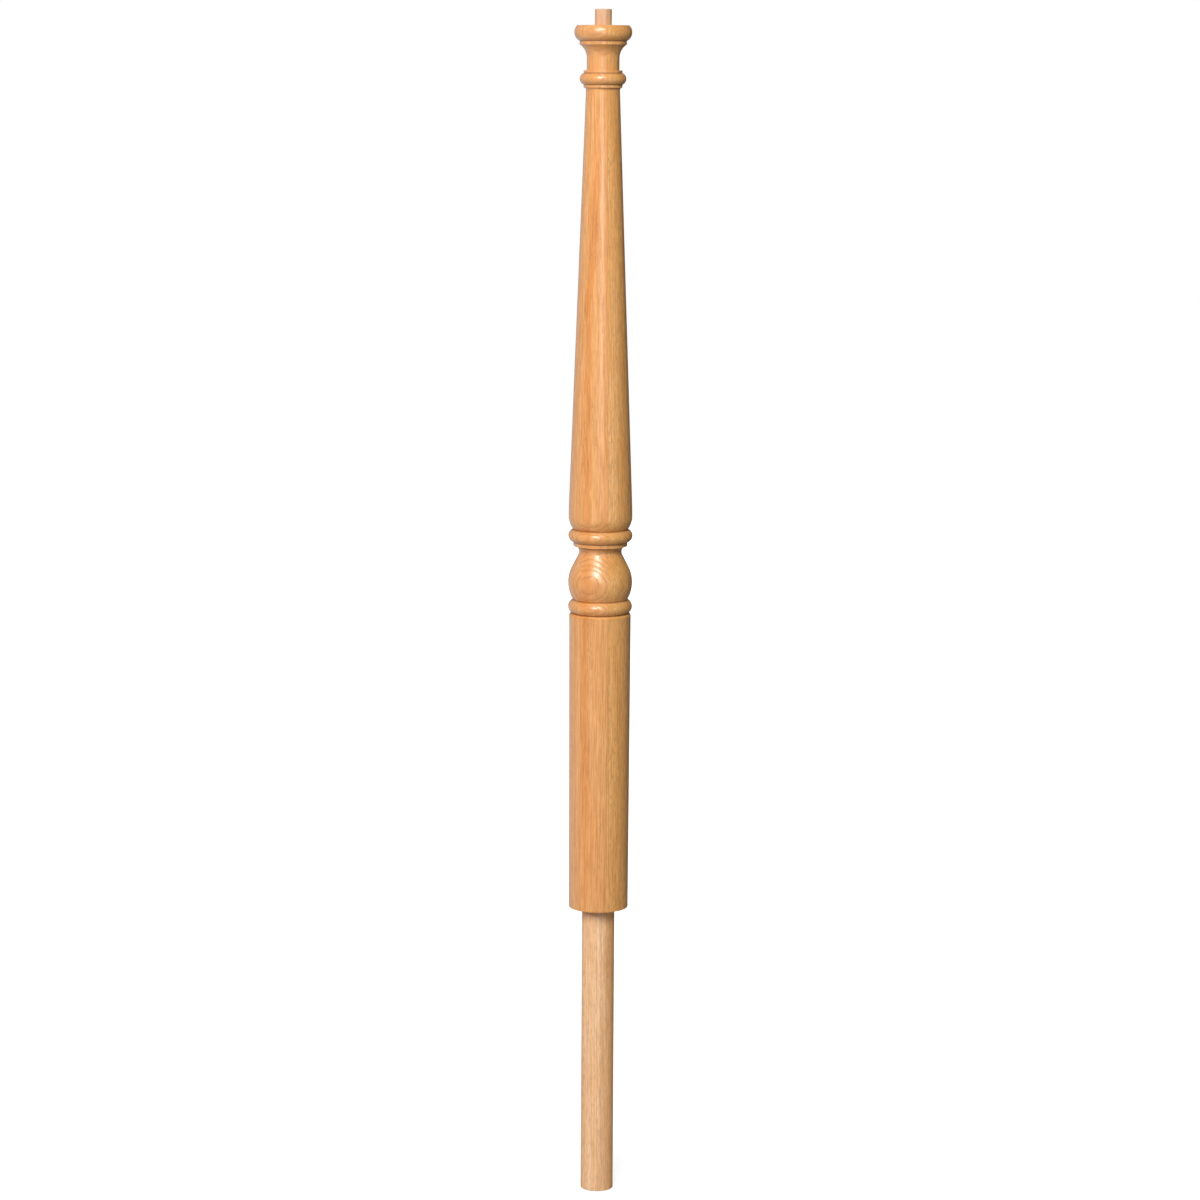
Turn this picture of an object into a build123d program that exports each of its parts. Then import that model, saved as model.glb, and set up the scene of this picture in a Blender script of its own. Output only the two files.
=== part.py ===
from build123d import *
from math import acos, cos, degrees, radians, sin, tan
import os

# A turned newel post: one length of oak turned with a head, a long taper, two beads, a bulb and a plain
# lower shaft, and a dowel glued into a socket in its base.
# Millimetres, +Z up. The origin is on the axis, in the flat shoulder at the foot of the turned post, so
# the post stands above zero and the bare dowel below it.

# The widest round of the turning, which the beads and the bulb all reach
widest_diameter = 74.0

# The pin on top, which enters the handrail or its fitting
top_pin_diameter = 19.05
top_pin_length = 18.1
top_pin_chamfer = 0.8

# The head: a flat-topped bead over a listel and a long cove
head_diameter = 65.4
head_top_diameter = 58.6
head_height = 17.4
head_crown_height = 9.2
head_listel_diameter = 53.4
head_listel_height = 4.0
head_cove_radius = 18.0

# The upper neck and the collar, a bead between two listels
neck_diameter = 36.9
neck_length = 13.8
collar_diameter = 52.7
collar_bead_height = 13.0
collar_listel_diameter = 43.9
upper_listel_height = 3.0
lower_listel_height = 3.3

# The long taper, which swells to a rounded foot
taper_head_diameter = 38.4
taper_length = 477.5
foot_diameter = 73.2
foot_band_height = 9.0
foot_round_radius = 21.5

# The middle bead with its listel, and the V grooves that part it from the foot and the bulb from its bead
groove_diameter = 62.9
middle_bead_height = 15.0
middle_listel_diameter = 62.3
middle_listel_height = 4.5

# The lower neck and the bulb
lower_neck_diameter = 49.2
lower_neck_sweep_radius = 9.2
bulb_arc_radius = 38.8
bulb_shoulder_angle = 27.0

# The lower bead and the plain shaft, which narrows a little towards the floor
lower_bead_height = 15.6
shaft_groove_diameter = 65.3
shaft_head_diameter = 71.3
shaft_edge_radius = 3.4
shaft_foot_diameter = 69.0
shaft_length = 349.0

# The dowel that fixes the post through the floor, and the socket it is glued into
dowel_diameter = 38.1
dowel_exposed_length = 342.1
dowel_end_chamfer = 1.0
socket_depth = 76.0
glue_clearance = 0.25
tenon_chamfer = 1.5


def ledge(start, radius):
    """A level step in or out to another radius."""
    step = Line(start, (radius, start.Y))
    return step @ 1


def band(start, height):
    """A straight upright run, as on a listel or a neck."""
    run = Line(start, (start.X, start.Y + height))
    return run @ 1


def slope(start, end_radius, height):
    """A straight run that tapers to another radius."""
    run = Line(start, (end_radius, start.Y + height))
    return run @ 1


def bead(start, crown_radius, crown_height, end_radius, height):
    """A round moulding that swells to its crown and comes in again."""
    crown = (crown_radius, start.Y + crown_height)
    arc = ThreePointArc(start, crown, (end_radius, start.Y + height))
    return arc @ 1


def swell(start, full_radius, arc_radius):
    """A convex arc from a groove out to an upright tangent at its full radius."""
    turn = acos(1 - (full_radius - start.X) / arc_radius)
    centre = (full_radius - arc_radius, start.Y + arc_radius * sin(turn))
    arc = CenterArc(centre, arc_radius, -degrees(turn), degrees(turn))
    return arc @ 1


def rounded_edge(start, end_radius, arc_radius):
    """A convex arc that leaves an upright run and comes in to a groove."""
    turn = acos(1 - (start.X - end_radius) / arc_radius)
    arc = CenterArc((start.X - arc_radius, start.Y), arc_radius, 0, degrees(turn))
    return arc @ 1


def cove(start, end_radius, arc_radius):
    """A hollow arc that leaves an upright run and flares out to another radius."""
    turn = acos(1 - (end_radius - start.X) / arc_radius)
    arc = CenterArc((start.X + arc_radius, start.Y), arc_radius, 180, -degrees(turn))
    return arc @ 1


def bulb(start):
    """The bulb from its groove up over the widest round, and its straight shoulder in to the lower neck."""
    widest = swell(start, widest_diameter / 2, bulb_arc_radius)
    over = CenterArc((widest.X - bulb_arc_radius, widest.Y), bulb_arc_radius, 0, bulb_shoulder_angle)
    lean = radians(bulb_shoulder_angle)
    sweep_inner = lower_neck_diameter / 2 + lower_neck_sweep_radius * (1 - cos(lean))
    shoulder_top = (sweep_inner, (over @ 1).Y + ((over @ 1).X - sweep_inner) / tan(lean))
    shoulder = Line(over @ 1, shoulder_top)
    centre = (
        lower_neck_diameter / 2 + lower_neck_sweep_radius,
        (shoulder @ 1).Y + lower_neck_sweep_radius * sin(lean),
    )
    sweep = CenterArc(centre, lower_neck_sweep_radius, 180 + bulb_shoulder_angle, -bulb_shoulder_angle)
    return sweep @ 1


def lower_shaft(start):
    """The plain shaft and the lower bead above it, from the shoulder up."""
    shaft_rise = shaft_length - shaft_edge_radius
    shaft_head = slope(ledge(start, shaft_foot_diameter / 2), shaft_head_diameter / 2, shaft_rise)
    groove = rounded_edge(shaft_head, shaft_groove_diameter / 2, shaft_edge_radius)
    return bead(groove, widest_diameter / 2, lower_bead_height / 2, groove_diameter / 2, lower_bead_height)


def middle(start):
    """The bulb, the lower neck's upper cove, the middle listel and the middle bead."""
    listel_radius = middle_listel_diameter / 2
    neck = bulb(start)
    listel_foot = cove(neck, listel_radius, listel_radius - lower_neck_diameter / 2)
    listel_top = band(listel_foot, middle_listel_height)
    return bead(listel_top, widest_diameter / 2, middle_bead_height / 2, groove_diameter / 2, middle_bead_height)


def upper_shaft(start):
    """The rounded foot and the long taper, with a small cove under the collar."""
    foot = band(swell(start, foot_diameter / 2, foot_round_radius), foot_band_height)
    taper_head = slope(foot, taper_head_diameter / 2, taper_length)
    collar_radius = collar_listel_diameter / 2
    return cove(taper_head, collar_radius, collar_radius - taper_head_diameter / 2)


def collar(start):
    """A bead between two listels of one diameter."""
    bead_foot = band(start, lower_listel_height)
    bead_top = bead(bead_foot, collar_diameter / 2, collar_bead_height / 2, bead_foot.X, collar_bead_height)
    return band(bead_top, upper_listel_height)


def head(start):
    """The upper neck, its long cove, a listel and the flat-topped bead."""
    neck_top = band(ledge(start, neck_diameter / 2), neck_length)
    listel_foot = cove(neck_top, head_listel_diameter / 2, head_cove_radius)
    listel_top = band(listel_foot, head_listel_height)
    return bead(listel_top, head_diameter / 2, head_crown_height, head_top_diameter / 2, head_height)


# The turned post: half of its outline, drawn upwards from the shoulder and turned about the axis
with BuildPart() as turned_post:
    with BuildSketch(Plane.XZ):
        with BuildLine():
            lower_bead_top = lower_shaft(Vector(0, 0))
            middle_bead_top = middle(lower_bead_top)
            taper_top = upper_shaft(middle_bead_top)
            head_top = head(collar(taper_top))
            pin_top = band(ledge(head_top, top_pin_diameter / 2), top_pin_length)
            axis_top = ledge(pin_top, 0)
            Line(axis_top, (0, 0))
        make_face()
    revolve(axis=Axis.Z)
    chamfer(turned_post.edges().sort_by(Axis.Z)[-1], top_pin_chamfer)
    # The socket is bored up the axis from the shoulder
    with Locations(Plane((0, 0, 0), z_dir=(0, 0, -1))):
        Hole(dowel_diameter / 2, socket_depth)
turned_post.part.label = "turned_post"

# The dowel: its bare length below the shoulder, and a glued end that stands on the socket's floor
with BuildPart() as base_dowel:
    with BuildSketch(Plane.XY.offset(-dowel_exposed_length)):
        Circle(dowel_diameter / 2)
    extrude(amount=dowel_exposed_length)
    with BuildSketch(Plane.XY):
        Circle(dowel_diameter / 2 - glue_clearance)
    extrude(amount=socket_depth)
    chamfer(base_dowel.edges().sort_by(Axis.Z)[0], dowel_end_chamfer)
    chamfer(base_dowel.edges().sort_by(Axis.Z)[-1], tenon_chamfer)
base_dowel.part.label = "base_dowel"

os.makedirs("parts", exist_ok=True)
export_step(turned_post.part, "parts/turned_post.step")
export_step(base_dowel.part, "parts/base_dowel.step")

print(f"head top {head_top.Y:.2f}, pin top {pin_top.Y:.2f}, lower bead top {lower_bead_top.Y:.2f}")
print(f"middle bead top {middle_bead_top.Y:.2f}, taper top {taper_top.Y:.2f}")
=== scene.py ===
# %% [markdown]
# # A turned newel post in oak
#
# A newel post is the main post of a stair's handrail. This one is turned on a lathe from a square of
# oak that was glued up from three boards: a head with a pin on top, a long taper, two round beads, a
# bulb and a plain lower shaft. A bare dowel is glued into its foot and goes through the floor.
#
# The lesson draws half of each outline as a chain of points and turns it about the axis, which is what
# the lathe does. Then it builds the oak out of the tree's own shapes: growth rings round a pith, pores
# in the early wood, rays across the rings, and glue lines where the boards meet.

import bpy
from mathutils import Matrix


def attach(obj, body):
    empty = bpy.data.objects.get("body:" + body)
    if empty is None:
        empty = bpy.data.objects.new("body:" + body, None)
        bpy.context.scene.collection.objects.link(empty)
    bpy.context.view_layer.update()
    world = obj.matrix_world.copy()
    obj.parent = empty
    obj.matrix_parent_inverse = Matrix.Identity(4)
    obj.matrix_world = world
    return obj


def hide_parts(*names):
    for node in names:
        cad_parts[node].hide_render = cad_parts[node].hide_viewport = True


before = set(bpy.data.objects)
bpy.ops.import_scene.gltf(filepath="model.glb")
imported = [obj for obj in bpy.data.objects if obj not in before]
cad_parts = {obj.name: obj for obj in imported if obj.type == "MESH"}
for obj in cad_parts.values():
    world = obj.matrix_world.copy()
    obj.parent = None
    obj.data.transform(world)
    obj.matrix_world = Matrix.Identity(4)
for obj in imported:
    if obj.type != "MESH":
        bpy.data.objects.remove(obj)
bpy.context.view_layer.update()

# %% Tools for the lesson
from math import acos, cos, degrees, pi, radians, sin, tan

import bmesh
import bpy
from mathutils import Matrix, Vector

MM = 0.001

# %% [markdown]
# ## The camera
#
# The post stands upright and the camera looks a little down on it from the height of its head, so every
# bead shows its top as a shallow curve. A long lens from about four metres keeps the post nearly as
# wide at its foot as at its head. The camera is rolled by a third of a degree, because the post leans
# that much in the picture.

# %% Camera
camera_place = Vector((0.0, -3.9283, 0.9800))
look_down = radians(8.922)
camera_roll = radians(0.336)
film_width = 36.0
lens_length = 103.1

bpy.ops.object.select_all(action="DESELECT")
bpy.ops.object.camera_add(location=camera_place)
camera = bpy.context.object
camera.name = "camera"
camera_turn = Matrix.Rotation(pi / 2 - look_down, 4, "X") @ Matrix.Rotation(camera_roll, 4, "Z")
camera.rotation_euler = camera_turn.to_euler()
camera.data.sensor_width = film_width
camera.data.lens = lens_length
bpy.context.scene.camera = camera
print("camera at", tuple(camera.location), "lens", camera.data.lens)

# %% [markdown]
# ## Drawing an outline
#
# A turner works from a half outline: radius outwards, height upwards. Here that outline is a chain of
# points and edges in the XZ plane. It starts as a primitive merged to one point, and grows by extruding
# its last point, or by spinning that point round a centre for each round or hollow moulding. The pen
# remembers where the chain ends, in millimetres. A corner that sandpaper has touched is noted, and is
# rounded when the chain is complete.

# %% The pen
pen = Vector((0.0, 0.0))
eased_corners = []


def start_outline(name, radius, height):
    """A new mesh with one point, where the half outline starts."""
    bpy.ops.object.select_all(action="DESELECT")
    bpy.ops.mesh.primitive_plane_add(size=MM, location=(radius * MM, 0, height * MM))
    bpy.context.object.name = name
    bpy.ops.object.transform_apply(location=True, rotation=True, scale=True)
    bpy.ops.object.mode_set(mode="EDIT")
    bpy.ops.mesh.select_mode(type="VERT")
    bpy.ops.mesh.select_all(action="SELECT")
    bpy.ops.mesh.merge(type="CENTER")
    pen.xy = (radius, height)
    eased_corners.clear()


def line_to(radius, height):
    """Extrudes the last point in a straight line."""
    step = (Vector((radius, height)) - pen) * MM
    bpy.ops.mesh.extrude_vertices_move(TRANSFORM_OT_translate={"value": (step.x, 0, step.y)})
    pen.xy = (radius, height)


def arc_about(radius, height, turn, step=4.0):
    """Spins the last point round a centre, by turn in degrees, anticlockwise as the outline is read."""
    centre = Vector((radius, height))
    steps = max(2, round(abs(turn) / step))
    bpy.ops.mesh.spin(
        steps=steps,
        angle=radians(turn),
        center=(radius * MM, 0, height * MM),
        axis=(0, 1, 0),
    )
    pen.xy = centre + Matrix.Rotation(radians(turn), 2) @ (pen - centre)


def ease(size):
    """Notes that the corner at the pen is rounded by this much."""
    eased_corners.append((pen.copy(), size))

# %% [markdown]
# ## Mouldings
#
# A turner's mouldings are few: a band is straight, a bead is a full round, a cove is a hollow, and a
# swell or a rounded edge is a part of a round. Each is one straight run or one arc from where the pen
# is, so a function for each keeps the outline readable. An arc that has to leave or meet an upright
# run turns by the angle whose versed sine is the step in radius.

# %% Mouldings
def ledge(radius):
    """A level step in or out."""
    line_to(radius, pen.y)


def band(height):
    """A straight upright run, as on a listel or a neck."""
    line_to(pen.x, pen.y + height)


def bead(crown_radius, crown_height, end_radius, height):
    """A round through three points: the pen, its crown and its end."""
    start = pen.copy()
    crown = start + Vector((crown_radius - start.x, crown_height))
    end = start + Vector((end_radius - start.x, height))
    chord, side = crown - start, end - start
    double_area = 2 * (chord.x * side.y - chord.y * side.x)
    to_centre = Vector((
        side.y * chord.length_squared - chord.y * side.length_squared,
        chord.x * side.length_squared - side.x * chord.length_squared,
    )) / double_area
    turn = (end - start - to_centre).angle_signed(-to_centre)
    arc_about(*(start + to_centre), degrees(turn), step=6.0)


def swell(full_radius, arc_radius):
    """A convex arc out of a groove, which ends upright."""
    turn = acos(1 - (full_radius - pen.x) / arc_radius)
    arc_about(full_radius - arc_radius, pen.y + arc_radius * sin(turn), degrees(turn))


def rounded_edge(end_radius, arc_radius):
    """A convex arc that leaves an upright run and comes in."""
    turn = acos(1 - (pen.x - end_radius) / arc_radius)
    arc_about(pen.x - arc_radius, pen.y, degrees(turn), step=8.0)


def cove(end_radius, arc_radius):
    """A hollow arc that leaves an upright run and flares out."""
    turn = acos(1 - (end_radius - pen.x) / arc_radius)
    arc_about(pen.x + arc_radius, pen.y, -degrees(turn), step=6.0)


def turn_on_lathe(name, steps=160):
    """Rounds the noted corners, turns the outline about the axis and closes the poles and the seam."""
    mesh = bmesh.from_edit_mesh(bpy.context.object.data)
    for place, size in eased_corners:
        bpy.ops.mesh.select_all(action="DESELECT")
        corner = Vector((place.x * MM, 0, place.y * MM))
        mesh = bmesh.from_edit_mesh(bpy.context.object.data)
        min(mesh.verts, key=lambda v: (v.co - corner).length).select = True
        bpy.ops.mesh.bevel(offset=size * MM, segments=3, affect="VERTICES")
    bpy.ops.mesh.select_all(action="SELECT")
    bpy.ops.mesh.spin(steps=steps, angle=2 * pi, center=(0, 0, 0), axis=(0, 0, 1))
    bpy.ops.mesh.select_all(action="SELECT")
    bpy.ops.mesh.remove_doubles(threshold=0.01 * MM)
    bpy.ops.mesh.normals_make_consistent(inside=False)
    bpy.ops.object.mode_set(mode="OBJECT")
    piece = bpy.context.object
    bpy.ops.object.shade_smooth_by_angle(angle=radians(32))
    weighted = piece.modifiers.new("even shading", "WEIGHTED_NORMAL")
    weighted.keep_sharp = True
    bpy.ops.object.modifier_apply(modifier=weighted.name)
    open_edges = sum(1 for n in edge_uses(piece).values() if n != 2)
    print(name, "faces", len(piece.data.polygons), "open edges", open_edges)
    return piece


def edge_uses(piece):
    """How many faces use each edge, to see that the skin is closed."""
    uses = {}
    for face in piece.data.polygons:
        for key in face.edge_keys:
            uses[key] = uses.get(key, 0) + 1
    return uses


# %% [markdown]
# ## The turned post
#
# The outline is read from the socket's floor, down its wall to the shoulder, and then up the outside
# to the pin. The plain shaft narrows a little towards the floor. Above it come a bead, the bulb with
# its straight shoulder, the lower neck, a listel and a second bead, then the rounded foot of the long
# taper, the collar, the upper neck and the head. Every corner that a hand can reach is eased by a few
# tenths of a millimetre, so that it catches a thin line of light.

# %% Outline of the post
widest_radius = 37.0
groove_radius = 31.45
dowel_radius = 19.05
socket_depth = 76.0
shaft_foot_radius = 34.5
shaft_head_radius = 35.65
shaft_groove_radius = 32.65
shaft_length = 349.0
shaft_edge_round = 3.4
lower_bead_height = 15.6
foot_corner = 0.7
soft_corner = 0.35

start_outline("newel_post", 0, socket_depth)
ledge(dowel_radius)
line_to(dowel_radius, 0)
ledge(shaft_foot_radius)
ease(foot_corner)
line_to(shaft_head_radius, shaft_length - shaft_edge_round)
rounded_edge(shaft_groove_radius, shaft_edge_round)
bead(widest_radius, lower_bead_height / 2, groove_radius, lower_bead_height)
print("lower bead top", round(pen.y, 2))

# %% Bulb and lower neck
bulb_arc = 38.8
shoulder_lean = 27.0
neck_radius = 24.6
neck_sweep = 9.2
middle_listel_radius = 31.15
middle_listel_height = 4.5
middle_bead_height = 15.0

swell(widest_radius, bulb_arc)
arc_about(widest_radius - bulb_arc, pen.y, shoulder_lean)
sweep_start = neck_radius + neck_sweep * (1 - cos(radians(shoulder_lean)))
line_to(sweep_start, pen.y + (pen.x - sweep_start) / tan(radians(shoulder_lean)))
arc_about(neck_radius + neck_sweep, pen.y + neck_sweep * sin(radians(shoulder_lean)), -shoulder_lean)
cove(middle_listel_radius, middle_listel_radius - neck_radius)
ease(soft_corner)
band(middle_listel_height)
bead(widest_radius, middle_bead_height / 2, groove_radius, middle_bead_height)
print("middle bead top", round(pen.y, 2))

# %% Taper and collar
taper_foot_radius = 36.6
taper_foot_round = 21.5
taper_foot_band = 9.0
taper_foot_ease = 6.0
taper_head_radius = 19.2
taper_length = 477.5
collar_radius = 26.35
collar_bead_height = 13.0
collar_listel_radius = 21.95
lower_listel_height = 3.3
upper_listel_height = 3.0

swell(taper_foot_radius, taper_foot_round)
band(taper_foot_band)
ease(taper_foot_ease)
line_to(taper_head_radius, pen.y + taper_length)
cove(collar_listel_radius, collar_listel_radius - taper_head_radius)
ease(soft_corner)
band(lower_listel_height)
bead(collar_radius, collar_bead_height / 2, collar_listel_radius, collar_bead_height)
band(upper_listel_height)
ease(soft_corner)
print("collar top", round(pen.y, 2))

# %% Upper neck, head and pin
upper_neck_radius = 18.45
upper_neck_length = 13.8
head_cove = 18.0
head_listel_radius = 26.7
head_listel_height = 4.0
head_radius = 32.7
head_crown_height = 9.2
head_top_radius = 29.3
head_height = 17.4
pin_radius = 9.525
pin_length = 18.1
pin_corner = 0.8

ledge(upper_neck_radius)
band(upper_neck_length)
cove(head_listel_radius, head_cove)
ease(soft_corner)
band(head_listel_height)
bead(head_radius, head_crown_height, head_top_radius, head_height)
ease(soft_corner)
head_top = pen.y
ledge(pin_radius)
band(pin_length)
ease(pin_corner)
ledge(0)
print("head top", round(head_top, 2), "pin top", round(pen.y, 2))

post = turn_on_lathe("newel_post")

# %% [markdown]
# ## The dowel
#
# The dowel is a bought rod, so it is a plain cylinder with a sanded lower end and a chamfered end
# inside the socket. The glued part is a quarter of a millimetre smaller all round, for the glue.

# %% Dowel
dowel_length = 342.1
dowel_corner = 0.7
glued_radius = 18.8
glued_chamfer = 1.5

start_outline("base_rod", 0, -dowel_length)
ledge(dowel_radius)
ease(dowel_corner)
line_to(dowel_radius, 0)
ledge(glued_radius)
band(socket_depth - glued_chamfer)
line_to(glued_radius - glued_chamfer, socket_depth)
ledge(0)
dowel = turn_on_lathe("base_rod", steps=120)

# %% [markdown]
# ## Oak as the tree made it
#
# A picture of wood wrapped round a post would stretch over the beads. Real grain is solid: a growth
# ring is a shell round the pith, and the lathe cuts through many shells. So the finish is worked out
# at each point of the solid. Object coordinates are turned into the wood's own three directions:
# round the pith, out from the pith, and along the trunk. Rings, pores and rays are simple patterns
# there, and the ovals on the bulb and the long lines on the taper come by themselves.

# %% Node helpers
def feed(tree, socket, value):
    """Wires a socket to another, or sets its number."""
    if isinstance(value, bpy.types.NodeSocket):
        tree.links.new(value, socket)
    else:
        socket.default_value = value


def add_node(tree, kind, settings=None, **inputs):
    """A node with its settings and its inputs, by name."""
    made = tree.nodes.new("ShaderNode" + kind)
    for key, value in (settings or {}).items():
        setattr(made, key, value)
    for key, value in inputs.items():
        feed(tree, made.inputs[key.replace("_", " ")], value)
    return made


def maths(tree, operation, *values):
    """One Math node and its result."""
    made = add_node(tree, "Math", {"operation": operation})
    for socket, value in zip(made.inputs, values):
        feed(tree, socket, value)
    return made.outputs[0]


def move(tree, operation, *values):
    """One Vector Math node and its result."""
    made = add_node(tree, "VectorMath", {"operation": operation})
    for socket, value in zip(made.inputs, values):
        feed(tree, socket, value)
    return made.outputs[1 if operation == "LENGTH" else 0]


def stretched(tree, place, sizes):
    """The place divided by a pattern's size in each of the wood's directions."""
    return move(tree, "MULTIPLY", place, tuple(1 / size for size in sizes))


def cloud(tree, place, sizes, detail=0.0, roughness=0.5):
    """Smooth noise with blobs of these sizes in millimetres, as a value and as a colour."""
    place = stretched(tree, place, sizes)
    made = add_node(tree, "TexNoise", Vector=place, Scale=1.0, Detail=detail, Roughness=roughness)
    return made.outputs["Fac"], made.outputs["Color"]


def fade(tree, value, start, end, low=0.0, high=1.0):
    """Goes smoothly from low to high as value goes from start to end."""
    made = add_node(tree, "MapRange", {"interpolation_type": "SMOOTHSTEP"}, Value=value)
    for name, number in zip(("From Min", "From Max", "To Min", "To Max"), (start, end, low, high)):
        feed(tree, made.inputs[name], number)
    return made.outputs["Result"]


def blend(tree, amount, first, second, kind="MIX"):
    """Mixes two colours."""
    made = add_node(tree, "Mix", {"data_type": "RGBA", "blend_type": kind})
    feed(tree, made.inputs[0], amount)
    feed(tree, made.inputs[6], first)
    feed(tree, made.inputs[7], second)
    return made.outputs[2]


# %% Wood's own directions
sway_size = (90, 90, 260)
sway_reach = (2.4, 2.4, 0.0)
ripple_size = (7, 7, 26)
ripple_reach = (0.9, 0.9, 0.0)
round_pith_scale = 100.0


def drift(tree, place, sizes, reach):
    """A smooth drift to either side, with waves of these sizes."""
    waves = move(tree, "SUBTRACT", cloud(tree, place, sizes, detail=1.0)[1], (0.5, 0.5, 0.5))
    return move(tree, "MULTIPLY", waves, reach)


def wood_place(tree, place, pith, seed):
    """Turns millimetres into round the pith, out from it, and along the trunk."""
    swayed = move(tree, "ADD", place, drift(tree, place, sway_size, sway_reach))
    swayed = move(tree, "ADD", swayed, drift(tree, place, ripple_size, ripple_reach))
    out = add_node(tree, "SeparateXYZ", Vector=move(tree, "SUBTRACT", swayed, pith))
    angle = maths(tree, "ARCTAN2", out.outputs["X"], out.outputs["Y"])
    level = add_node(tree, "CombineXYZ", X=out.outputs["X"], Y=out.outputs["Y"])
    reach = move(tree, "LENGTH", level.outputs[0])
    along = maths(tree, "ADD", out.outputs["Z"], seed)
    around = maths(tree, "MULTIPLY", angle, round_pith_scale)
    wood = add_node(tree, "CombineXYZ", X=around, Y=reach, Z=along)
    return wood.outputs[0], reach


# %% Rings, pores and rays
uneven_years_size = (260, 6, 900)
uneven_years = 3.0
early_wood_ends = 0.46
early_wood_starts = 0.91
pore_size = (0.5, 0.42, 9.0)
pore_edge = (0.20, 0.36)
pores_in_early_wood = (0.15, 0.85)
ray_size = (1.0, 9.0, 8.0)
ray_edge = (0.55, 0.68)
tone_size = (9, 5, 170)
fibre_size = (1.0, 1.0, 36)


def growth_rings(tree, wood, reach, ring_width):
    """How much of the porous early wood there is at a place: 1 at the start of a year, then fading."""
    uneven = cloud(tree, wood, uneven_years_size, detail=1.0)[0]
    grown = maths(tree, "ADD", reach, maths(tree, "MULTIPLY", uneven, uneven_years))
    season = maths(tree, "FRACT", maths(tree, "DIVIDE", grown, ring_width))
    fading = fade(tree, season, 0.0, early_wood_ends, 1.0, 0.0)
    return maths(tree, "MAXIMUM", fading, fade(tree, season, early_wood_starts, 1.0))


def pores(tree, wood, early):
    """Open vessels, seen as short dark dashes along the grain where the early wood is."""
    cells = add_node(tree, "TexVoronoi", Vector=stretched(tree, wood, pore_size), Scale=1.0)
    dash = fade(tree, cells.outputs["Distance"], *pore_edge, 1.0, 0.0)
    return maths(tree, "MULTIPLY", dash, fade(tree, early, *pores_in_early_wood))


def rays(tree, wood):
    """Thin sheets across the rings: fine dashes on one face and broad flecks on the other."""
    return fade(tree, cloud(tree, wood, ray_size)[0], *ray_edge)


# %% Grain as a node group
def oak_grain():
    """One group for both finishes, so that the pin and the head share the same rings."""
    tree = bpy.data.node_groups.new("oak grain", "ShaderNodeTree")
    inputs = {"Place": "Vector", "Pith": "Vector", "Ring width": "Float", "Seed": "Float"}
    for name, kind in inputs.items():
        tree.interface.new_socket(name, in_out="INPUT", socket_type="NodeSocket" + kind)
    for name in ("Early wood", "Pores", "Rays", "Tone", "Fibre"):
        tree.interface.new_socket(name, in_out="OUTPUT", socket_type="NodeSocketFloat")
    given = tree.nodes.new("NodeGroupInput").outputs
    result = tree.nodes.new("NodeGroupOutput").inputs
    wood, reach = wood_place(tree, given["Place"], given["Pith"], given["Seed"])
    early = growth_rings(tree, wood, reach, given["Ring width"])
    feed(tree, result["Early wood"], early)
    feed(tree, result["Pores"], pores(tree, wood, early))
    feed(tree, result["Rays"], rays(tree, wood))
    feed(tree, result["Tone"], cloud(tree, wood, tone_size, detail=3.0)[0])
    feed(tree, result["Fibre"], cloud(tree, wood, fibre_size, detail=2.0, roughness=0.7)[0])
    print("grain group with", len(tree.nodes), "nodes")
    return tree


grain_group = oak_grain()

# %% [markdown]
# ## Three boards in one post
#
# Glue lines run up the post where the boards meet: one a little right of the middle, which leans as it
# goes down, and one well to the left. Each board came from its own place in a tree, so each gets its
# own pith and ring width. The middle board's rings face the front, and they lean back with the taper,
# which is why the taper shows long lines and only the bulb shows ovals.

# %% Boards
middle_pith = (27.0, 68.7, 0.0, 1.0)
right_pith = (6.0, 84.0, 0.0, 1.0)
left_pith = (16.0, 62.0, 0.0, 1.0)
wide_rings = 3.0
narrow_rings = 1.4
leaning_from = 385.0
ring_lean = 0.022
left_joint = -22.0
right_joint_at_foot = 11.95
right_joint_lean = -0.0070
joint_blur = 0.05
glue_line = (0.08, 0.22)
left_seed = 900.0
right_seed = 2300.0


def boards(tree, place, across, up):
    """The grain of the three boards, how far a place is inside the right one, and the glue lines."""
    leaning = maths(tree, "MAXIMUM", maths(tree, "SUBTRACT", up, leaning_from), 0.0)
    shift = add_node(tree, "CombineXYZ", Y=maths(tree, "MULTIPLY", leaning, ring_lean))
    right_joint = maths(tree, "MULTIPLY_ADD", up, right_joint_lean, right_joint_at_foot)
    from_right = maths(tree, "SUBTRACT", across, right_joint)
    from_left = maths(tree, "SUBTRACT", across, left_joint)
    in_right = fade(tree, from_right, -joint_blur, joint_blur)
    in_left = fade(tree, from_left, -joint_blur, joint_blur, 1.0, 0.0)
    pith = blend(tree, in_right, middle_pith, right_pith)
    pith = blend(tree, in_left, pith, left_pith)
    width = maths(tree, "MULTIPLY_ADD", in_right, narrow_rings - wide_rings, wide_rings)
    seed = maths(tree, "MULTIPLY_ADD", in_left, left_seed, maths(tree, "MULTIPLY", in_right, right_seed))
    grain = tree.nodes.new("ShaderNodeGroup")
    grain.node_tree = grain_group
    place = move(tree, "SUBTRACT", place, shift.outputs[0])
    for name, value in (("Place", place), ("Pith", pith), ("Ring width", width), ("Seed", seed)):
        feed(tree, grain.inputs[name], value)
    to_right, to_left = maths(tree, "ABSOLUTE", from_right), maths(tree, "ABSOLUTE", from_left)
    glue = fade(tree, maths(tree, "MINIMUM", to_right, to_left), *glue_line, 1.0, 0.0)
    return grain.outputs, in_right, glue


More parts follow.
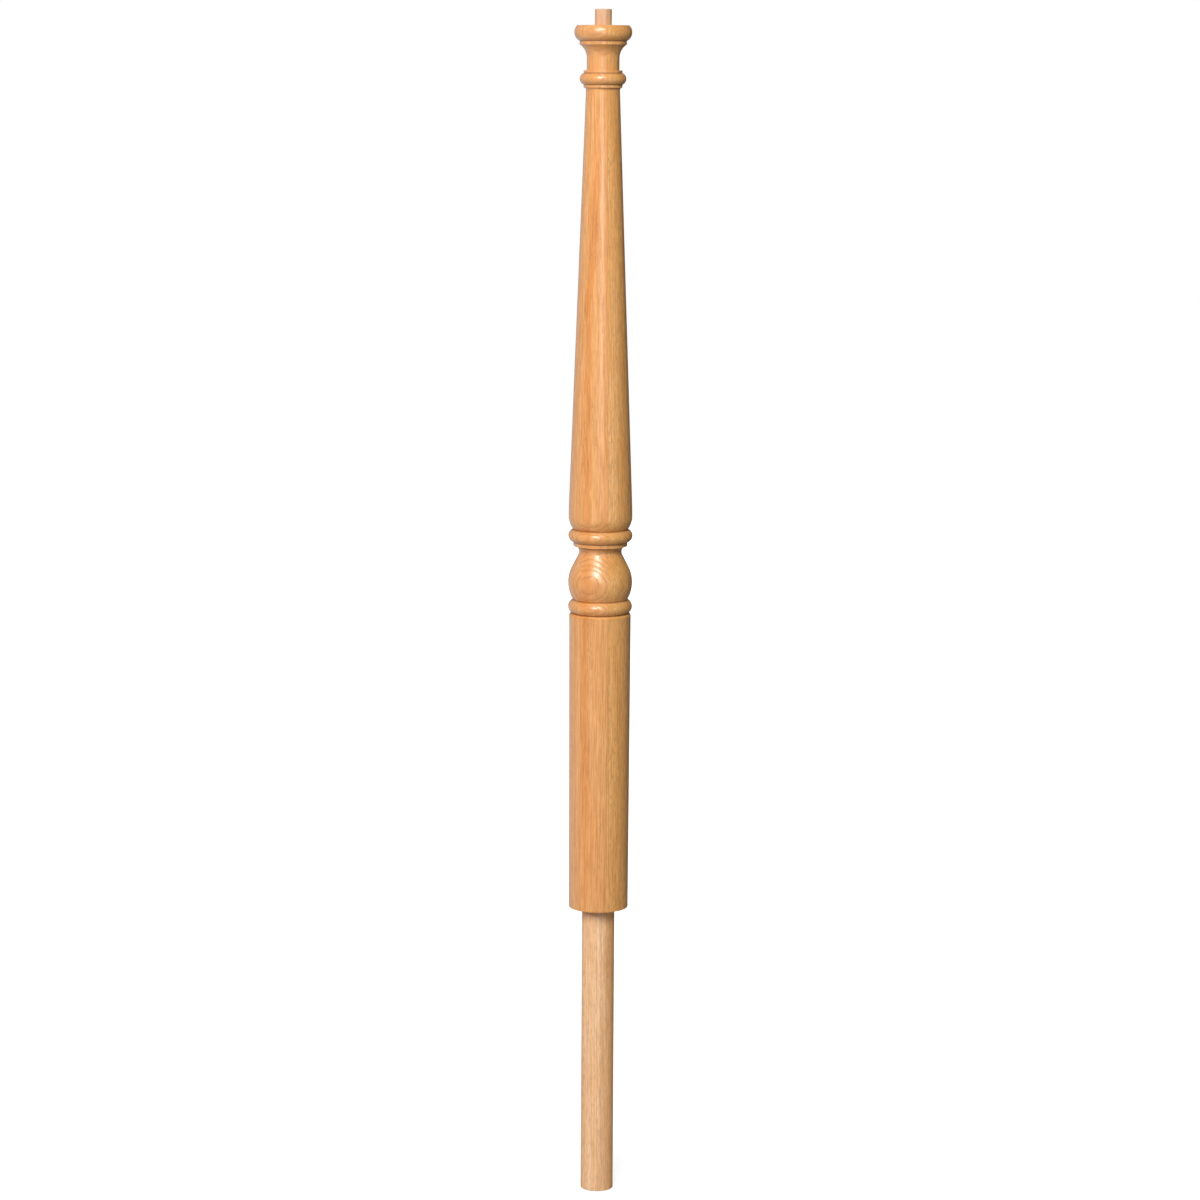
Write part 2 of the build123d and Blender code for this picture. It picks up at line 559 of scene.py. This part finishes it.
# %% [markdown]
# ## Marks of the tree and of the workshop, and painted shade in the grooves
#
# A darker mineral streak wanders down the left of the taper and the shaft: minerals in the sap stain
# some oak that way. The V grooves and the corners under the beads and listels get painted shade: their
# colour is pulled towards the dark pore colour where shade falls. The lacquer is rubbed thin on the
# top edge of the plain shaft, so that edge hardly shines. Where the lathe cuts across the rings, on the
# bulb and a little on the head, their edges are crisp and the fibres show little. On the long straight
# parts it is the other way round.

# %% Marks
bulb_height = 395.0
bulb_reach = 45.0
head_from = 935.0
head_blend = 15.0
# Heights of painted shade: the V grooves and the corners under the beads and listels.
groove_shade_heights = (349.0, 364.6, 426.0, 431.5, 446.5, 953.0, 966.0, 1001.9)
groove_shade_edge = (0.2, 1.3)
worn_edge_height = 346.9
worn_edge = (0.8, 2.2)
streak_left = -16.8
streak_at_foot = -38.1
streak_lean = 0.037
streak_wander = 8.0
streak_wander_size = (60, 60, 45)
streak_ends = (860.0, 940.0)
streak_edge = (1.5, 6.5)


def across_the_rings(tree, up):
    """1 on the bulb, a half on the head, and nothing on the long straight parts."""
    from_bulb = maths(tree, "ABSOLUTE", maths(tree, "SUBTRACT", up, bulb_height))
    on_bulb = fade(tree, from_bulb, bulb_reach, 2 * bulb_reach, 1.0, 0.0)
    on_head = fade(tree, up, head_from, head_from + head_blend, 0.0, 0.5)
    return maths(tree, "MAXIMUM", on_bulb, on_head)


def streak_on_post(tree, place, across, up):
    """A dark streak that wanders down the left of the post and ends below the collar."""
    waves = cloud(tree, place, streak_wander_size, detail=1.0)[0]
    wandered = maths(tree, "MULTIPLY_ADD", waves, streak_wander, across)
    leaning = maths(tree, "MULTIPLY_ADD", up, streak_lean, streak_at_foot)
    middle = maths(tree, "ADD", maths(tree, "MAXIMUM", leaning, streak_left), streak_wander / 2)
    aside = maths(tree, "ABSOLUTE", maths(tree, "SUBTRACT", wandered, middle))
    below_collar = fade(tree, up, *streak_ends, 1.0, 0.0)
    return maths(tree, "MULTIPLY", fade(tree, aside, *streak_edge, 1.0, 0.0), below_collar)


def painted_shade_in_grooves(tree, up):
    """Painted shade: 1 in a groove or under a bead or a listel, and nothing a millimetre away."""
    groove = 0.0
    for height in groove_shade_heights:
        aside = maths(tree, "ABSOLUTE", maths(tree, "SUBTRACT", up, height))
        groove = maths(tree, "MAXIMUM", fade(tree, aside, *groove_shade_edge, 1.0, 0.0), groove)
    return groove


# %% [markdown]
# ## Finished oak
#
# Clear satin lacquer warms the oak and leaves the pores a little open. Early wood is darker, pores are
# darker still, and the slow change of tone along the trunk shows as long streaks with finer fibres
# over them. The right board is a little more yellow, and its rays show as short dark flecks. The bump
# follows the pores and the rings, so the light on the bulb breaks up over the ridges.

# %% Paint
tone_spread = (0.28, 0.72)
fibre_spread = (0.26, 0.74)
dark_fibre = (0.80, 0.70, 0.56, 1)
pale_fibre = (1.12, 1.18, 1.27, 1)
pore_strength = 0.45
ring_depth = 0.6
hollow_roughness = 0.25


def paint(tree, shader, grain, colours, rings, flecks, threads, roughness, relief):
    """Wires the grain into a Principled shader and gives the colour back."""
    late_pale, late_dark, early, pore, ray = colours
    late = blend(tree, fade(tree, grain["Tone"], *tone_spread), late_pale, late_dark)
    colour = blend(tree, maths(tree, "MULTIPLY", grain["Early wood"], rings), late, early)
    fibre = blend(tree, fade(tree, grain["Fibre"], *fibre_spread), dark_fibre, pale_fibre)
    colour = blend(tree, threads, colour, fibre, "MULTIPLY")
    colour = blend(tree, maths(tree, "MULTIPLY", grain["Rays"], flecks), colour, ray)
    colour = blend(tree, maths(tree, "MULTIPLY", grain["Pores"], pore_strength), colour, pore)
    ring_hollow = maths(tree, "MULTIPLY", grain["Early wood"], ring_depth)
    hollow = maths(tree, "MAXIMUM", grain["Pores"], ring_hollow)
    rough = fade(tree, hollow, 0.0, 1.0, roughness, roughness + hollow_roughness)
    feed(tree, shader.inputs["Roughness"], rough)
    bump = add_node(tree, "Bump", {"invert": True}, Strength=1.0, Distance=relief, Height=hollow)
    feed(tree, shader.inputs["Normal"], bump.outputs["Normal"])
    feed(tree, shader.inputs["Coat Normal"], bump.outputs["Normal"])
    return colour


# %% Wood shader
right_board_tint = (1.03, 1.10, 1.02, 1)
streak_tint = (0.95, 0.84, 0.70, 1)
glue_brown = (0.16, 0.07, 0.03, 1)
glue_strength = 0.3
groove_shade_strength = 0.65
plain_rings, bulb_rings = 0.2, 0.55
plain_threads, bulb_threads = 1.0, 0.45
middle_flecks, right_flecks = 0.35, 0.95
coat_roughness = 0.23
polished, rubbed = 0.5, 0.1


def wood_shader(name, colours, roughness, relief, lacquer):
    """Colours, gloss and relief of one finish on the post's boards."""
    material = bpy.data.materials.new(name)
    material.use_nodes = True
    tree = material.node_tree
    shader = tree.nodes["Principled BSDF"]
    metres = add_node(tree, "TexCoord").outputs["Object"]
    place = move(tree, "MULTIPLY", metres, (1 / MM, 1 / MM, 1 / MM))
    axes = add_node(tree, "SeparateXYZ", Vector=place)
    across, up = axes.outputs["X"], axes.outputs["Z"]
    grain, in_right, glue = boards(tree, place, across, up)
    cross_cut = across_the_rings(tree, up)
    rings = maths(tree, "MULTIPLY_ADD", cross_cut, bulb_rings - plain_rings, plain_rings)
    threads = maths(tree, "MULTIPLY_ADD", cross_cut, bulb_threads - plain_threads, plain_threads)
    flecks = maths(tree, "MULTIPLY_ADD", in_right, right_flecks - middle_flecks, middle_flecks)
    depth = maths(tree, "MULTIPLY_ADD", cross_cut, relief, relief)
    colour = paint(tree, shader, grain, colours, rings, flecks, threads, roughness, depth)
    colour = blend(tree, in_right, colour, right_board_tint, "MULTIPLY")
    streak = streak_on_post(tree, place, across, up)
    colour = blend(tree, streak, colour, streak_tint, "MULTIPLY")
    colour = blend(tree, maths(tree, "MULTIPLY", glue, glue_strength), colour, glue_brown)
    # Painted shade: the colour in the grooves and under the beads is pulled towards the dark pore
    # colour.
    groove = maths(tree, "MULTIPLY", painted_shade_in_grooves(tree, up), groove_shade_strength)
    feed(tree, shader.inputs["Base Color"], blend(tree, groove, colour, colours[3]))
    from_edge = maths(tree, "ABSOLUTE", maths(tree, "SUBTRACT", up, worn_edge_height))
    worn = fade(tree, from_edge, *worn_edge, 1.0, 0.0)
    feed(tree, shader.inputs["Coat Weight"], maths(tree, "MULTIPLY_ADD", worn, -lacquer, lacquer))
    feed(tree, shader.inputs["Specular IOR Level"], fade(tree, worn, 0.0, 1.0, polished, rubbed))
    shader.inputs["Coat Roughness"].default_value = coat_roughness
    return material


# %% The two finishes of the post
finished_oak = wood_shader(
    "finished oak",
    colours=(
        (0.84, 0.42, 0.155, 1),
        (0.79, 0.34, 0.095, 1),
        (0.62, 0.26, 0.07, 1),
        (0.30, 0.11, 0.03, 1),
        (0.66, 0.30, 0.10, 1),
    ),
    roughness=0.30,
    relief=0.13 * MM,
    lacquer=0.7,
)
bare_oak = wood_shader(
    "bare oak",
    colours=(
        (0.73, 0.45, 0.275, 1),
        (0.70, 0.41, 0.24, 1),
        (0.68, 0.38, 0.19, 1),
        (0.40, 0.20, 0.09, 1),
        (0.66, 0.38, 0.20, 1),
    ),
    roughness=0.70,
    relief=0.07 * MM,
    lacquer=0.0,
)

# %% [markdown]
# ## Who wears which finish
#
# The post takes the lacquered oak all over except on its pin, which is left bare for the glue. The
# dowel is another stick of oak, bare all over, so it gets its own pith and its own seed.

# %% Finish on the post
post.data.materials.append(finished_oak)
post.data.materials.append(bare_oak)
bpy.ops.object.select_all(action="DESELECT")
post.select_set(True)
bpy.context.view_layer.objects.active = post
margin = 0.1
for face in post.data.polygons:
    height = face.center.z / MM
    from_axis = Vector(face.center.xy).length / MM
    on_pin = height > head_top + margin
    in_socket = height < socket_depth + margin and from_axis < dowel_radius + margin
    face.material_index = 1 if on_pin or in_socket else 0
print("bare faces on the post", sum(face.material_index for face in post.data.polygons))

# %% [markdown]
# ## The rod's own grain
#
# The rod was split from a board whose right side lay nearer the heart of the tree, so that side is
# browner. It has never seen stain or lacquer, so it is paler and more pink than the post, clouds a
# little along its length, and is quite without shine.

# %% Bare rod
rod_pith = (-48.0, 62.0, 0.0)
rod_rings = 1.9
rod_seed = 5200.0
rod_cloud_size = (26, 26, 55)
rod_cloud_edge = (0.38, 0.62)
rod_cloud_tint = (1.03, 1.04, 1.09, 1)
rod_heart_edge = (1.0, 17.0)
rod_heart_tint = (0.92, 0.79, 0.58, 1)

rod_oak = bpy.data.materials.new("bare rod")
rod_oak.use_nodes = True
tree = rod_oak.node_tree
metres = add_node(tree, "TexCoord").outputs["Object"]
place = move(tree, "MULTIPLY", metres, (1 / MM, 1 / MM, 1 / MM))
grain = tree.nodes.new("ShaderNodeGroup")
grain.node_tree = grain_group
feed(tree, grain.inputs["Place"], place)
grain.inputs["Pith"].default_value = rod_pith
grain.inputs["Ring width"].default_value = rod_rings
grain.inputs["Seed"].default_value = rod_seed
shader = tree.nodes["Principled BSDF"]
colour = paint(
    tree,
    shader,
    grain.outputs,
    colours=(
        (0.95, 0.61, 0.36, 1),
        (0.90, 0.52, 0.26, 1),
        (0.76, 0.42, 0.19, 1),
        (0.40, 0.20, 0.09, 1),
        (0.68, 0.40, 0.21, 1),
    ),
    rings=0.4,
    flecks=0.5,
    threads=0.75,
    roughness=0.70,
    relief=0.07 * MM,
)
cloudy = fade(tree, cloud(tree, place, rod_cloud_size, detail=1.0)[0], *rod_cloud_edge)
colour = blend(tree, cloudy, colour, rod_cloud_tint, "MULTIPLY")
heart = fade(tree, add_node(tree, "SeparateXYZ", Vector=place).outputs["X"], *rod_heart_edge)
colour = blend(tree, heart, colour, rod_heart_tint, "MULTIPLY")
feed(tree, shader.inputs["Base Color"], colour)
dowel.data.materials.append(rod_oak)
print("rod with rings of", rod_rings, "mm")

# %% [markdown]
# ## Pieces and the frame
#
# The two new pieces stand for the two solids of the frame, whose parts are hidden, and ride on its one
# body.

# %% Pieces
for piece, node, slot in ((post, "turned_post", "finished_oak"), (dowel, "base_dowel", "bare_oak")):
    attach(piece, "root")
    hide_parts(node)

# %% [markdown]
# ## Floor, light and background
#
# The floor is plain and pale. What the camera sees of it is lifted to white away from the post, and
# near the foot it keeps the soft shadow. The key light is a large soft box high in front and a little
# to the left, brighter in its middle than at its edge: it lights the whole post from above and draws
# the bright marks on the beads. Two plain white cards in front only shine: they draw the upright sheen
# down the neck and the taper. Two distant panels fill the sides, the left more than the right, and one
# behind lights the back.

# %% White for the camera
left_gloss = 0.7
right_gloss = 0.03


def backdrop_glow(tree, in_gloss):
    """White where the camera or a clear piece sees it, and in_gloss where a shine mirrors it."""
    paths = add_node(tree, "LightPath").outputs
    straight = maths(tree, "MAXIMUM", paths["Is Camera Ray"], paths["Is Transmission Ray"])
    return maths(tree, "MAXIMUM", straight, maths(tree, "MULTIPLY", paths["Is Glossy Ray"], in_gloss))


# %% Floor
floor_size = 12.0
floor_gap = 0.2
floor_pale = (0.4, 0.4, 0.4, 1)
floor_mirrored = (0.05, 0.05, 0.05, 1)
floor_gloss_fade = (-1.5, 0.8)
shadow_reach = (0.05, 0.6)
shadow_lift = 0.75

bpy.ops.object.select_all(action="DESELECT")
bpy.ops.mesh.primitive_plane_add(size=floor_size, location=(0, 0, -(dowel_length + floor_gap) * MM))
floor = bpy.context.object
floor.name = "floor"
floor_white = bpy.data.materials.new("floor white")
floor_white.use_nodes = True
tree = floor_white.node_tree
tree.nodes.clear()
where = add_node(tree, "TexCoord").outputs["Object"]
sideways = add_node(tree, "SeparateXYZ", Vector=where).outputs["X"]
near_foot = fade(tree, move(tree, "LENGTH", where), *shadow_reach, shadow_lift, 1.0)
glow = backdrop_glow(tree, fade(tree, sideways, *floor_gloss_fade, left_gloss, right_gloss))
glow = maths(tree, "MULTIPLY", glow, near_foot)
mirrored = add_node(tree, "LightPath").outputs["Is Glossy Ray"]
matt = add_node(tree, "BsdfDiffuse", Color=blend(tree, mirrored, floor_pale, floor_mirrored))
lift = add_node(tree, "Emission", Color=(1, 1, 1, 1), Strength=glow)
both = add_node(tree, "AddShader")
tree.links.new(matt.outputs[0], both.inputs[0])
tree.links.new(lift.outputs[0], both.inputs[1])
out = add_node(tree, "OutputMaterial")
tree.links.new(both.outputs[0], out.inputs["Surface"])
floor.data.materials.append(floor_white)

# %% Lights
def soft_panel(name, place, aim, size, brightness, lights=True, shines=True):
    """A soft panel that faces a point, as bright as its radiance says."""
    bpy.ops.object.select_all(action="DESELECT")
    bpy.ops.object.light_add(type="AREA", location=place)
    panel = bpy.context.object
    panel.name = name
    panel.rotation_euler = (Vector(aim) - Vector(place)).to_track_quat("-Z", "Y").to_euler()
    panel.data.shape = "RECTANGLE"
    panel.data.size, panel.data.size_y = size
    panel.data.energy = brightness * pi * size[0] * size[1]
    panel.visible_camera = False
    panel.visible_diffuse = lights
    panel.visible_glossy = shines
    print(name, "power", round(panel.data.energy, 2))


soft_panel("key middle", (-1.06, -4.40, 3.46), (0, 0, 0.3), (1.5, 1.8), 12.0)
soft_panel("key edge", (-1.07, -4.42, 3.55), (0, 0, 0.3), (2.8, 3.3), 6.2)
soft_panel("front sheen", (0.00, -2.00, 0.82), (0, 0, 0.82), (0.4, 0.46), 6.4, lights=False)
soft_panel("right sheen", (1.23, -1.58, 0.51), (0, 0, 0.51), (3.0, 0.84), 0.95, lights=False)
soft_panel("left fill", (-7.02, -2.55, 3.17), (0, 0, 0.3), (1.6, 1.6), 17.5, shines=False)
soft_panel("right fill", (4.90, -2.83, 5.96), (0, 0, 0.3), (1.6, 1.6), 14.5, shines=False)
soft_panel("back fill", (1.80, 6.80, 4.30), (0, 0, 0.3), (2.0, 2.0), 18.0, shines=False)

# %% World
room_light = 0.04
room_gloss_fade = (-0.9, 0.3)

world = bpy.data.worlds.new("studio")
bpy.context.scene.world = world
world.use_nodes = True
tree = world.node_tree
tree.nodes.clear()
toward = add_node(tree, "TexCoord").outputs["Generated"]
sideways = add_node(tree, "SeparateXYZ", Vector=toward).outputs["X"]
glow = backdrop_glow(tree, fade(tree, sideways, *room_gloss_fade, left_gloss, right_gloss))
strength = maths(tree, "MAXIMUM", glow, room_light)
room = add_node(tree, "Background", Color=(1, 1, 1, 1), Strength=strength)
out = add_node(tree, "OutputWorld")
tree.links.new(room.outputs[0], out.inputs["Surface"])

bpy.context.scene.view_settings.view_transform = "Standard"
